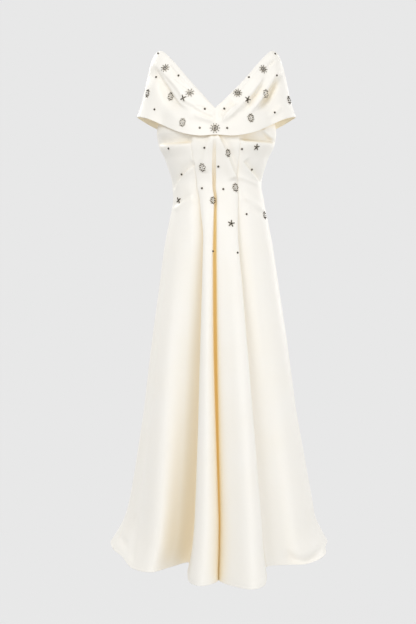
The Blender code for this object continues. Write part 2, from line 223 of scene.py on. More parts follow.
CUTS = (
    Cut("back_center_left", "seam_back", "seam_back_left", 18, (0.20, 1.26), 0.17),
    Cut("back_side_left", "seam_back_left", "seam_side_left", 18, (0.44, 1.27), 0.33),
    Cut("front_side_left", "seam_side_left", "seam_front_left", 14, (0.36, 1.26), 0.28),
    Cut("front_center", "seam_front_left", "seam_front_right", 14, (0.62, 1.28), 0.42),
    Cut("front_side_right", "seam_front_right", "seam_side_right", 14, (0.32, 1.26), 0.26),
    Cut("back_side_right", "seam_side_right", "seam_back_right", 18, (0.44, 1.27), 0.33),
    Cut("back_center_right", "seam_back_right", "seam_back", 18, (0.20, 1.26), 0.17),
)

STATIONS = (
    Station("center_front", (0.000, -0.113, 0.043), (0.000, -0.126, -0.031), 0.012, 0.000),
    Station("inner_front", (0.038, -0.098, 0.084), (0.046, -0.122, -0.033), 0.017, 0.000),
    Station("front", (0.079, -0.074, 0.131), (0.098, -0.102, -0.022), 0.022, 0.000),
    Station("outer_front", (0.120, -0.043, 0.183), (0.145, -0.068, 0.001), 0.027, 0.001),
    Station("shoulder_front", (0.150, -0.014, 0.216), (0.195, -0.042, 0.025), 0.032, 0.003),
    Station("arm", (0.160, 0.012, 0.222), (0.2275, 0.008, 0.036), 0.036, 0.006),
    Station("shoulder_back", (0.148, 0.040, 0.209), (0.216, 0.060, 0.032), 0.032, 0.005),
    Station("outer_back", (0.118, 0.068, 0.166), (0.180, 0.098, 0.016), 0.024, 0.003),
    Station("back", (0.078, 0.088, 0.110), (0.120, 0.112, -0.003), 0.017, 0.000),
    Station("inner_back", (0.038, 0.096, 0.069), (0.058, 0.116, -0.013), 0.013, 0.000),
    Station("center_back", (0.000, 0.098, 0.052), (0.000, 0.117, -0.017), 0.010, 0.000),
)

COLLAR_CREASES = (
    Crease("left_band_edge",
           ((-174, 184), (-150, 154), (-128, 128), (-106, 98), (-88, 68), (-64, 52), (-36, 37)), 4.6, 15, 4.5),
    Crease("left_wedge_trough", ((-181, 176), (-162, 144), (-143, 112), (-124, 80), (-104, 52), (-76, 34)),
           -8.0, 5, 21, fade=0.16),
    Crease("left_flap_crest", ((-174, 150), (-162, 106), (-148, 68), (-124, 34), (-92, 8)), 4.5, 10, 22),
    Crease("left_band_line", ((-134, 176), (-112, 138), (-86, 104)), -1.6, 4, 3),
    Crease("left_fine_crease", ((-126, 134), (-97, 107), (-70, 84)), -2.4, 3, 4),
    Crease("left_tuck", ((-62, 50), (-34, 43), (-7, 29)), -3.0, 3, 4),
    Crease("left_pinch_upper", ((-68, 44), (-38, 28), (-8, 14)), -4.4, 3, 8, fade=0.14),
    Crease("left_pinch_ridge", ((-64, 24), (-34, 14), (-8, 5)), 3.2, 5, 5),
    Crease("left_pinch_lower", ((-84, 10), (-44, 2), (-8, -5)), -4.0, 6, 11, fade=0.14),
    Crease("left_neck_welt", ((-136, 186), (-96, 137), (-56, 89), (-22, 52)), 1.8, 3, 3.5),
    Crease("right_deep_crest", ((185, 163), (163, 143), (139, 106), (118, 70), (82, 22)), 8.0, 5, 15),
    Crease("right_deep_trough", ((192, 150), (172, 137), (153, 102), (130, 64), (108, 34)),
           -12.0, 10, 5, fade=0.42),
    Crease("right_peak_crease", ((166, 190), (154, 178), (143, 166)), -3.6, 4, 5),
    Crease("right_middle_crest", ((134, 146), (106, 104), (79, 66), (49, 34), (12, 0)), 6.5, 5, 13),
    Crease("right_middle_trough", ((136, 128), (111, 90), (85, 53), (56, 22), (22, -8)), -6.5, 9, 5),
    Crease("right_pinched_fold", ((58, 54), (31, 30), (12, 2)), 4.8, 6, 3.5),
    Crease("right_pinched_trough", ((52, 62), (23, 38), (4, 12)), -4.4, 3.5, 6),
    Crease("right_fine_crease", ((116, 92), (88, 68), (61, 44)), -2.4, 3, 5),
    Crease("right_arm_fold", ((186, 60), (161, 38), (136, 24)), 3.6, 7, 9),
    Crease("right_neck_welt", ((134, 184), (95, 136), (56, 90), (20, 52)), 1.8, 3.5, 3),
    Crease("center_pinch", ((-5, 40), (-5, 16), (-5, -16)), -3.5, 8, 8, fade=0.40),
    Crease("center_seam", ((-5, 40), (-5, 12), (-5, -34)), -2.2, 2.2, 2.2, fade=0.25),
    Crease("back_left_fold", ((-176, 160), (-130, 92), (-70, 40), (-12, 14)), 6.0, 14, 8, Side.BACK),
    Crease("back_left_trough", ((-186, 120), (-132, 66), (-74, 20), (-20, 0)), -5.0, 7, 12, Side.BACK),
    Crease("back_left_neck_fold", ((-128, 156), (-84, 100), (-34, 56)), 3.4, 8, 6, Side.BACK),
    Crease("back_right_fold", ((172, 152), (126, 86), (66, 36), (10, 12)), 5.6, 8, 15, Side.BACK),
    Crease("back_right_trough", ((184, 112), (134, 60), (78, 16), (24, -2)), -5.0, 12, 7, Side.BACK),
    Crease("back_right_neck_fold", ((124, 152), (80, 96), (30, 54)), 3.2, 6, 8, Side.BACK),
)

BODY_CREASES = (
    Crease("drape_right", ((-2, -26), (16, -60), (34, -102), (54, -150)), 8.0, 4, 19, fade=0.10),
    Crease("drape_right_shadow", ((12, -32), (30, -60), (47, -102), (63, -142)), -3.2, 11, 4),
    Crease("drape_left", ((-10, -26), (-22, -58), (-32, -92), (-38, -132)), 6.0, 12, 10, fade=0.12),
    Crease("center_groove", ((-6, -22), (-6.5, -90), (-6.5, -190)), -3.6, 3.2, 3.2, fade=0.30),
    Crease("left_bust_crease", ((-178, -42), (-120, -46), (-62, -45)), -12.0, 24, 5.5),
    Crease("left_bust_roll", ((-168, -56), (-118, -60), (-70, -58)), 2.2, 8, 17),
    Crease("left_waist_drag", ((-60, -108), (-82, -120), (-100, -138), (-113, -156), (-124, -176)),
           -5.0, 3.0, 15,
           fade=0.10),
    Crease("left_waist_roll", ((-66, -118), (-90, -134), (-108, -156), (-118, -176)), 2.4, 9, 4),
    Crease("left_hip_drag", ((-122, -232), (-96, -217), (-62, -197)), 3.0, 6, 11),
    Crease("left_hip_shadow", ((-134, -224), (-101, -207), (-70, -188)), -2.2, 7, 5),
    Crease("right_bust_crease", ((178, -36), (120, -40), (58, -38)), -13.0, 5, 24),
    Crease("right_bust_roll", ((168, -50), (116, -54), (66, -52)), 2.4, 17, 8),
    Crease("right_bust_flap", ((124, -10), (147, -24), (170, -34)), 5.0, 9, 3.5),
    Crease("right_waist_drag", ((76, -98), (100, -126), (114, -140), (128, -154)),
           -5.5, 14, 2.6, fade=0.12),
    Crease("right_waist_roll", ((84, -112), (104, -136), (124, -156)), 2.0, 3, 9),
    Crease("right_belt_drag", ((56, -140), (91, -151), (126, -166)), 2.4, 6, 6),
    Crease("right_hip_drag", ((74, -190), (106, -216), (138, -234)), 3.6, 9, 7),
    Crease("right_hip_shadow", ((68, -202), (98, -228), (130, -246)), -2.2, 6, 8),
    Crease("right_hem_kick",
           ((182, -1170), (206, -1196), (232, -1208), (264, -1211), (290, -1202), (308, -1186)),
           -7.5, 9, 12, fade=0.3),
    Crease("left_hem_kick", ((-292, -1168), (-274, -1184), (-250, -1192)), -5.0, 10, 8),
    Crease("left_side_ripple", ((-224, -1096), (-231, -1150), (-239, -1214)), -6.0, 6, 10),
    Crease("back_waist_left", ((-44, -104), (-78, -134), (-104, -154), (-126, -168)),
           -4.4, 4, 15, Side.BACK, 0.15),
    Crease("back_waist_left_roll", ((-50, -118), (-84, -146), (-118, -172)), 2.4, 10, 5, Side.BACK),
    Crease("back_waist_right", ((46, -108), (80, -138), (106, -156), (128, -166)),
           -4.8, 16, 4, Side.BACK, 0.15),
    Crease("back_waist_right_roll", ((54, -124), (88, -150), (120, -172)), 2.2, 5, 11, Side.BACK),
    Crease("back_hip_left", ((-12, -196), (-56, -214), (-96, -216), (-134, -206)),
           3.0, 12, 16, Side.BACK, 0.34),
    Crease("back_hip_right", ((14, -190), (58, -210), (100, -210), (138, -198)),
           3.2, 16, 11, Side.BACK, 0.34),
    Crease("back_seat_left", ((-8, -172), (-46, -182), (-92, -178)), -2.2, 12, 9, Side.BACK, 0.34),
    Crease("back_seat_right", ((10, -178), (50, -188), (98, -180)), -2.4, 9, 13, Side.BACK, 0.34),
    Crease("back_shoulder_left", ((-30, -34), (-80, -58), (-138, -72)), -3.6, 8, 17, Side.BACK, 0.30),
    Crease("back_shoulder_right", ((34, -38), (86, -60), (140, -70)), -3.8, 18, 8, Side.BACK, 0.30),
)

MOTIFS = (
    Motif("brooch", Spray.BROOCH, -0.005, -0.0145, 0.0290, 10),
    Motif("rosette_1", Spray.STARBURST, -0.144, 0.164, 0.0260, 9, 10),
    Motif("rosette_2", Spray.STARBURST, 0.130, 0.1595, 0.0260, 9, 0),
    Motif("rosette_3", Spray.STARBURST, -0.074, 0.087, 0.0260, 8, 24),
    Motif("rosette_4", Spray.STARBURST, 0.057, 0.0865, 0.0260, 10, 6),
    Motif("cluster_1", Spray.WREATH, -0.195, 0.098, 0.0235, 7, 0),
    Motif("cluster_2", Spray.WREATH, -0.128, 0.083, 0.0235, 7, 20),
    Motif("cluster_3", Spray.WREATH, -0.0945, 0.005, 0.0235, 7, -12),
    Motif("cluster_4", Spray.WREATH, 0.136, 0.089, 0.0235, 7, 15),
    Motif("cluster_5", Spray.WREATH, 0.0935, 0.0175, 0.0235, 8, 8),
    Motif("cluster_6", Spray.WREATH, 0.2055, 0.081, 0.0235, 7, -8),
    Motif("cluster_7", Spray.WREATH, 0.030, -0.080, 0.0215, 7, 25),
    Motif("cluster_8", Spray.WREATH, -0.0405, -0.1185, 0.0235, 7, -20),
    Motif("cluster_9", Spray.WREATH, 0.052, -0.172, 0.0235, 8, 30),
    Motif("cluster_10", Spray.WREATH, -0.0105, -0.208, 0.0200, 7, 0),
    Motif("cluster_11", Spray.WREATH, 0.1355, -0.246, 0.0215, 6, 0),
    Motif("cross_1", Spray.CROSS, -0.093, 0.073, 0.0185, 4, 20),
    Motif("cross_2", Spray.CROSS, 0.085, 0.0685, 0.0185, 5, 0),
    Motif("cross_3", Spray.CROSS, 0.110, -0.061, 0.0185, 5, 18),
    Motif("cross_4", Spray.CROSS, -0.107, -0.2045, 0.0185, 4, 30),
    Motif("cross_5", Spray.CROSS, 0.0395, -0.2725, 0.0185, 5, 10),
)

# Places of the single sewn-on stones on the front, in millimetres
SINGLE_STONES = (
    (-165, 211), (165, 210), (-170, 142), (-106, 139), (89, 133), (168, 144), (-174, 49),
    (-33, 40), (20, 41), (162, 39), (-47, -12), (28, -13), (-134, -62), (-34, -66), (69, -68),
    (-98, -133), (4, -116), (98, -120), (-41, -174), (18, -177), (83, -245), (-11, -349), (57, -353),
)


def linear(hex_color: str) -> tuple[float, float, float, float]:
    """Turn an sRGB hex value into a linear colour.

    Args:
        hex_color: Six hex digits, such as "F4EFE3".

    Returns:
        The linear red, green, blue and an alpha of 1.
    """
    parts = [int(hex_color[i : i + 2], 16) / 255 for i in (0, 2, 4)]
    channels = [c / 12.92 if c <= 0.04045 else ((c + 0.055) / 1.055) ** 2.4 for c in parts]
    return (channels[0], channels[1], channels[2], 1.0)


def add_node(tree: bpy.types.NodeTree, kind: str, links: dict | None = None, **settings) -> bpy.types.Node:
    """Add a node with its settings and its incoming links.

    Args:
        tree: The material's node tree.
        kind: The node's type name.
        links: Socket names or numbers, each with the output socket that feeds it or its value.
        settings: Attributes of the node.

    Returns:
        The new node.
    """
    node = tree.nodes.new(kind)
    for name, value in settings.items():
        setattr(node, name, value)
    for key, value in (links or {}).items():
        if isinstance(value, bpy.types.NodeSocket):
            tree.links.new(value, node.inputs[key])
        else:
            node.inputs[key].default_value = value
    return node


@dataclass(frozen=True)
class SatinFinish:
    """Heavy duchess satin: long floats of yarn give a smooth, pearly sheen along the warp."""

    name: str = "ivory_duchess_satin"
    light: str = "FAF8F3"
    deep: str = "F9F5EC"
    # Painted shade: the darker, warmer tone of the cloth's hollows.
    painted_hollow_shade: str = "F4E8CF"
    # Painted light and shade: the darker gold deep in the pleat, and how strongly it glows.
    painted_pleat_light: str = "E7D4A2"
    glow: float = 0.22
    roughness: float = 0.46
    sheen: float = 0.12
    sheen_roughness: float = 0.4
    specular: float = 0.38
    # Painted light: the colour of the pleat's glow.
    painted_pleat_glow_color: str = "E7CB89"
    # Real yarns are 0.1 mm apart, too fine to show, so the float lines are drawn at 0.9 mm.
    yarn: float = 0.0009
    # Handling leaves faint dents of about a finger's width.
    dent: float = 0.028

    def build(self) -> bpy.types.Material:
        """Build the material.

        Returns:
            The satin, on the cloth's own UV map in metres.
        """
        material = bpy.data.materials.new(self.name)
        material.use_nodes = True
        tree = material.node_tree
        shader = tree.nodes["Principled BSDF"]
        uv = add_node(tree, "ShaderNodeUVMap", uv_map="cloth")
        tone = add_node(tree, "ShaderNodeTexNoise", {"Vector": uv.outputs[0], "Scale": 9.0, "Detail": 2.0})
        shade = add_node(
            tree,
            "ShaderNodeMix",
            {0: tone.outputs[0], 6: linear(self.light), 7: linear(self.deep)},
            data_type="RGBA",
        )
        # Painted shade: where ambient occlusion finds a hollow, the base colour turns to a darker, warmer tone
        # that stands in for the hollow's shade and for light passed from cloth to cloth.
        open_sky = add_node(tree, "ShaderNodeAmbientOcclusion", {"Distance": 0.11}, samples=8)
        hollow = add_node(
            tree, "ShaderNodeMapRange", {0: open_sky.outputs["AO"], 1: 0.92, 2: 0.40, 3: 0.0, 4: 1.0}
        )
        with_painted_hollow_shade = add_node(
            tree,
            "ShaderNodeMix",
            {0: hollow.outputs[0], 6: shade.outputs[2], 7: linear(self.painted_hollow_shade)},
            data_type="RGBA",
        )
        # Painted light and shade: deep in the pleat the base colour turns a darker gold and the cloth glows,
        # standing in for the shade there and for light that has come through the thin cloth.
        painted_pleat_light = add_node(tree, "ShaderNodeAttribute", attribute_name="painted_pleat_light")
        glow = add_node(
            tree, "ShaderNodeMath", {0: painted_pleat_light.outputs["Fac"], 1: self.glow}, operation="MULTIPLY"
        )
        tree.links.new(glow.outputs[0], shader.inputs["Emission Strength"])
        shader.inputs["Emission Color"].default_value = linear(self.painted_pleat_glow_color)
        with_painted_pleat_gold = add_node(
            tree,
            "ShaderNodeMix",
            {0: painted_pleat_light.outputs["Fac"], 6: with_painted_hollow_shade.outputs[2], 7: linear(self.painted_pleat_light)},
            data_type="RGBA",
        )
        tree.links.new(with_painted_pleat_gold.outputs[2], shader.inputs["Base Color"])
        stretched = add_node(
            tree,
            "ShaderNodeMapping",
            {"Vector": uv.outputs[0], "Scale": (1 / self.yarn, 0.12 / self.yarn, 1)},
        )
        floats = add_node(
            tree, "ShaderNodeTexNoise", {"Vector": stretched.outputs[0], "Scale": 1.0, "Detail": 1.0}
        )
        dents = add_node(
            tree, "ShaderNodeTexNoise", {"Vector": uv.outputs[0], "Scale": 1 / self.dent, "Detail": 2.0}
        )
        weave = add_node(
            tree, "ShaderNodeBump", {"Height": floats.outputs[0], "Strength": 0.25, "Distance": 0.00006}
        )
        bump = add_node(
            tree,
            "ShaderNodeBump",
            {"Height": dents.outputs[0], "Normal": weave.outputs[0], "Strength": 0.5, "Distance": 0.0009},
        )
        tree.links.new(bump.outputs[0], shader.inputs["Normal"])
        shader.inputs["Roughness"].default_value = self.roughness
        shader.inputs["Sheen Weight"].default_value = self.sheen
        shader.inputs["Sheen Roughness"].default_value = self.sheen_roughness
        shader.inputs["Sheen Tint"].default_value = linear("FFF8EA")
        shader.inputs["Specular IOR Level"].default_value = self.specular
        return material


@dataclass(frozen=True)
class ReverseFinish(SatinFinish):
    """The satin's wrong side: the weft shows, so it is duller and warmer."""

    name: str = "ivory_satin_wrong_side"
    light: str = "FDF6E2"
    deep: str = "FBF1DA"
    roughness: float = 0.7
    sheen: float = 0.05


@dataclass(frozen=True)
class CrystalFinish:
    """Cut crystal with a foiled back: a tone that changes at random between a dark one and a lighter one,
    partly the stone's own mottled tone and partly painted glints of facets catching the light.
    """

    name: str
    color: str
    roughness: float
    metallic: float
    dark: str = "221D19"

    def build(self) -> bpy.types.Material:
        """Build the material.

        Returns:
            The crystal, with a random change of tone that is partly its own and partly painted glints.
        """
        material = bpy.data.materials.new(self.name)
        material.use_nodes = True
        tree = material.node_tree
        shader = tree.nodes["Principled BSDF"]
        place = add_node(tree, "ShaderNodeTexCoord")
        # Partly painted glints: noise spreads the stone's own tone between dark and light, as facets that
        # catch the light or not.
        tone = add_node(tree, "ShaderNodeTexNoise", {"Vector": place.outputs["Object"], "Scale": 420.0})
        tone_and_painted_glints = add_node(tree, "ShaderNodeValToRGB", {0: tone.outputs[0]})
        tone_and_painted_glints.color_ramp.elements[0].position = 0.38
        tone_and_painted_glints.color_ramp.elements[0].color = linear(self.dark)
        tone_and_painted_glints.color_ramp.elements[1].position = 0.66
        tone_and_painted_glints.color_ramp.elements[1].color = linear(self.color)
        tree.links.new(tone_and_painted_glints.outputs[0], shader.inputs["Base Color"])
        shader.inputs["Roughness"].default_value = self.roughness
        shader.inputs["Metallic"].default_value = self.metallic
        return material


class Wardrobe:
    """The gown's finishes, each built once."""

    def __init__(self) -> None:
        """Build the finishes."""
        self.satin = SatinFinish().build()
        self.reverse = ReverseFinish().build()
        self.crystal = CrystalFinish("foiled_crystal", "5E554A", 0.14, 0.10).build()
        self.clear = CrystalFinish("clear_crystal", "FFFFFF", 0.05, 0.0, "DDD8CE").build()
        self.setting = CrystalFinish("gunmetal_setting", "362F28", 0.40, 0.35).build()


def glide(knots: tuple[float, ...], values: Array, at: Array) -> Array:
    """Read a smooth curve through values at falling knots, with no overshoot between them.

    Args:
        knots: The places of the values, from high to low.
        values: One value for each knot.
        at: The places to read.

    Returns:
        The values at those places.
    """
    knots = np.asarray(knots, float)
    values = np.asarray(values, float)
    at = np.clip(at, knots[-1], knots[0])
    spans = np.diff(knots)
    slopes = np.diff(values) / spans
    together = slopes[:-1] * slopes[1:]
    total = np.where(together > 0, slopes[:-1] + slopes[1:], 1.0)
    inner = np.where(together > 0, 2 * together / total, 0.0)
    tangents = np.concatenate(([slopes[0]], inner, [slopes[-1]]))
    i = np.clip(np.searchsorted(-knots, -at, side="right") - 1, 0, len(spans) - 1)
    t = (at - knots[i]) / spans[i]
    rise = values[i + 1] - values[i]
    start = tangents[i] * spans[i]
    end = tangents[i + 1] * spans[i]
    return values[i] + t * (start + t * (3 * rise - 2 * start - end + t * (start + end - 2 * rise)))


def through(before: Array, start: Array, end: Array, after: Array, t: float) -> Array:
    """Read a centripetal Catmull-Rom curve between start and end, for one or many rows of points.

    Args:
        before: The point, or rows of points, before the span.
        start: Where the span starts.
        end: Where it ends.
        after: The point after the span.
        t: The share of the span, from 0 to 1.

    Returns:
        The point, or rows of points, at that share.
    """

    def gap(one: Array, two: Array) -> Array:
        """Square root of the distance between two points."""
        return np.sqrt(np.maximum(np.linalg.norm(two - one, axis=-1, keepdims=True), 1e-7))

    k1 = gap(before, start)
    k2 = k1 + gap(start, end)
    k3 = k2 + gap(end, after)
    at = k1 + (k2 - k1) * t
    a1 = before + (start - before) * at / k1
    a2 = start + (end - start) * (at - k1) / (k2 - k1)
    a3 = end + (after - end) * (at - k2) / (k3 - k2)
    b1 = a1 + (a2 - a1) * at / k2
    b2 = a2 + (a3 - a2) * (at - k1) / (k3 - k1)
    return b1 + (b2 - b1) * (at - k1) / (k2 - k1)


def smooth_step(value: Array) -> Array:
    """Ease from 0 to 1 as the value goes from 0 to 1."""
    value = np.clip(value, 0, 1)
    return value * value * (3 - 2 * value)


def grid_normals(points: Array, closed: bool) -> Array:
    """Unit normals of a grid of points.

    Args:
        points: Rows from the top down, and columns from left to right as seen from outside.
        closed: Whether the last column is followed by the first.

    Returns:
        The outward normals.
    """
    down = np.gradient(points, axis=0)
    if closed:
        along = np.roll(points, -1, axis=1) - np.roll(points, 1, axis=1)
    else:
        along = np.gradient(points, axis=1)
    normals = np.cross(down, along)
    return normals / np.maximum(np.linalg.norm(normals, axis=-1, keepdims=True), 1e-12)


def crease_path(crease: Crease) -> Array:
    """Smooth path of a crease, in metres on the front projection.

    Args:
        crease: The crease.

    Returns:
        Points on it, each with x and z.
    """
    nodes = np.array(crease.path) * MM
    padded = np.vstack((2 * nodes[0] - nodes[1], nodes, 2 * nodes[-1] - nodes[-2]))
    last = len(nodes) - 2
    steps = [
        through(*padded[i : i + 4], t)
        for i in range(len(nodes) - 1)
        for t in np.linspace(0, 1, 12, endpoint=i == last)
    ]
    return np.array(steps)


def relief(points: Array, normals: Array, creases: tuple[Crease, ...]) -> Array:
    """Work out how far the creases move each point along its normal.

    Args:
        points: The grid of points.
        normals: Their outward normals.
        creases: The creases to lay on it.

    Returns:
        The distance for each point, in metres.
    """
    flat = points.reshape(-1, 3)
    turned = normals.reshape(-1, 3)[:, 1]
    total = np.zeros(len(flat))
    for crease in creases:
        path = crease_path(crease)
        reach = 3.0 * max(crease.left, crease.right) * MM
        facing = turned * crease.side.value
        low = path.min(axis=0) - reach
        high = path.max(axis=0) + reach
        near = (flat[:, 0] > low[0]) & (flat[:, 0] < high[0])
        near &= (flat[:, 2] > low[1]) & (flat[:, 2] < high[1])
        near &= (facing > 0.04) & (flat[:, 1] * crease.side.value > -0.06)
        if not near.any():
            continue
        place = flat[near][:, (0, 2)]
        offset = place[:, None, :] - path[None, :, :]
        closest = np.argmin((offset**2).sum(axis=2), axis=1)
        gap = offset[np.arange(len(place)), closest]
        tangent = np.gradient(path, axis=0)
        tangent /= np.linalg.norm(tangent, axis=1, keepdims=True)
        tangent = tangent[closest]
        along = (tangent * gap).sum(axis=1)
        across = tangent[:, 0] * gap[:, 1] - tangent[:, 1] * gap[:, 0]
        length = np.linalg.norm(np.diff(path, axis=0), axis=1)
        run = np.concatenate(([0.0], np.cumsum(length)))
        share = (run[closest] + along) / run[-1]
        beyond = np.maximum(0.0, np.maximum(-share, share - 1)) * run[-1]
        mix = smooth_step(across / (2 * MM) + 0.5)
        width = (crease.left * mix + crease.right * (1 - mix)) * MM
        ends = smooth_step(share / crease.fade + 0.10) * smooth_step((1 - share) / crease.fade + 0.05)
        steep = smooth_step((facing[near] - 0.04) / 0.35)
        fall = np.exp(-((across**2 + beyond**2) / width**2))
        total[near] += crease.height * MM * ends * steep * fall
    return total.reshape(points.shape[:2])


@dataclass
class Cloth:
    """A cloth shell over a grid: outer and inner points, UV in metres and the depth of the pleat, which sets
    its painted gold and glow.
    """

    name: str
    outer: Array
    inner: Array
    uv: Array
    painted_pleat_light: Array
    rim: float = 0.0004

    def build(self, wardrobe: Wardrobe) -> bpy.types.Object:
        """Make the shell as a mesh object.

        Args:
            wardrobe: The finishes.

        Returns:
            The object, with the satin's right side outside and its wrong side inside.
        """
        rows, columns = (count - 1 for count in self.outer.shape[:2])
        bm = bmesh.new()
        uv_layer = bm.loops.layers.uv.new("cloth")
        pocket_layer = bm.verts.layers.float.new("painted_pleat_light")
        bmesh.ops.create_grid(bm, x_segments=columns, y_segments=rows, size=1.0)
        made = bmesh.ops.extrude_face_region(bm, geom=bm.faces[:], use_keep_orig=True)
        inside = {item for item in made["geom"] if isinstance(item, bmesh.types.BMVert)}
        places = {}
        for vert in bm.verts:
            column = round((vert.co.x + 1) / 2 * columns)
            row = round((vert.co.y + 1) / 2 * rows)
            places[vert] = (row, column)
            vert[pocket_layer] = self.painted_pleat_light[row, column]
        for vert, (row, column) in places.items():
            vert.co = (self.inner if vert in inside else self.outer)[row, column]
        for face in bm.faces:
            face.smooth = True
            face.material_index = int(all(vert in inside for vert in face.verts))
            for loop in face.loops:
                loop[uv_layer].uv = self.uv[places[loop.vert]]
        rims = [
            edge
            for edge in bm.edges
            if (edge.verts[0] in inside) == (edge.verts[1] in inside)
            and self.on_rim(edge, places, rows, columns)
        ]
        bmesh.ops.recalc_face_normals(bm, faces=bm.faces[:])
        if bm.calc_volume(signed=True) < 0:
            bmesh.ops.reverse_faces(bm, faces=bm.faces[:])
        bmesh.ops.bevel(
            bm,
            geom=rims,
            offset=self.rim,
            segments=2,
            profile=0.5,
            affect="EDGES",
            material=-1,
            clamp_overlap=True,
        )
        for face in bm.faces:
            face.smooth = True
        mesh = bpy.data.meshes.new(self.name)
        bm.to_mesh(mesh)
        bm.free()
        mesh.materials.append(wardrobe.satin)
        mesh.materials.append(wardrobe.reverse)
        made_object = bpy.data.objects.new(self.name, mesh)
        bpy.context.scene.collection.objects.link(made_object)
        return made_object

    @staticmethod
    def on_rim(edge: bmesh.types.BMEdge, places: dict, rows: int, columns: int) -> bool:
        """Say whether an edge runs along the grid's outer boundary.

        Args:
            edge: The edge.
            places: Row and column of each vertex.
            rows: The last row.
            columns: The last column.

        Returns:
            True on the boundary.
        """
        (row_a, column_a), (row_b, column_b) = (places[vert] for vert in edge.verts)
        if row_a == row_b and row_a in (0, rows):
            return True
        return column_a == column_b and column_a in (0, columns)


def cloth_uv(points: Array) -> Array:
    """Lay out UV in metres: across the cloth from its middle column, and down it from the top.

    Args:
        points: The grid of points.

    Returns:
        The two coordinates of each point.
    """
    across = np.linalg.norm(np.diff(points, axis=1), axis=2)
    across = np.concatenate((np.zeros((len(points), 1)), np.cumsum(across, axis=1)), axis=1)
    middle = across[:, points.shape[1] // 2][:, None]
    down = np.linalg.norm(np.diff(points, axis=0), axis=2).mean(axis=1)
    down = np.concatenate(([0.0], np.cumsum(down)))[:, None] * np.ones(points.shape[1])
    return np.stack((across - middle, -down), axis=-1)


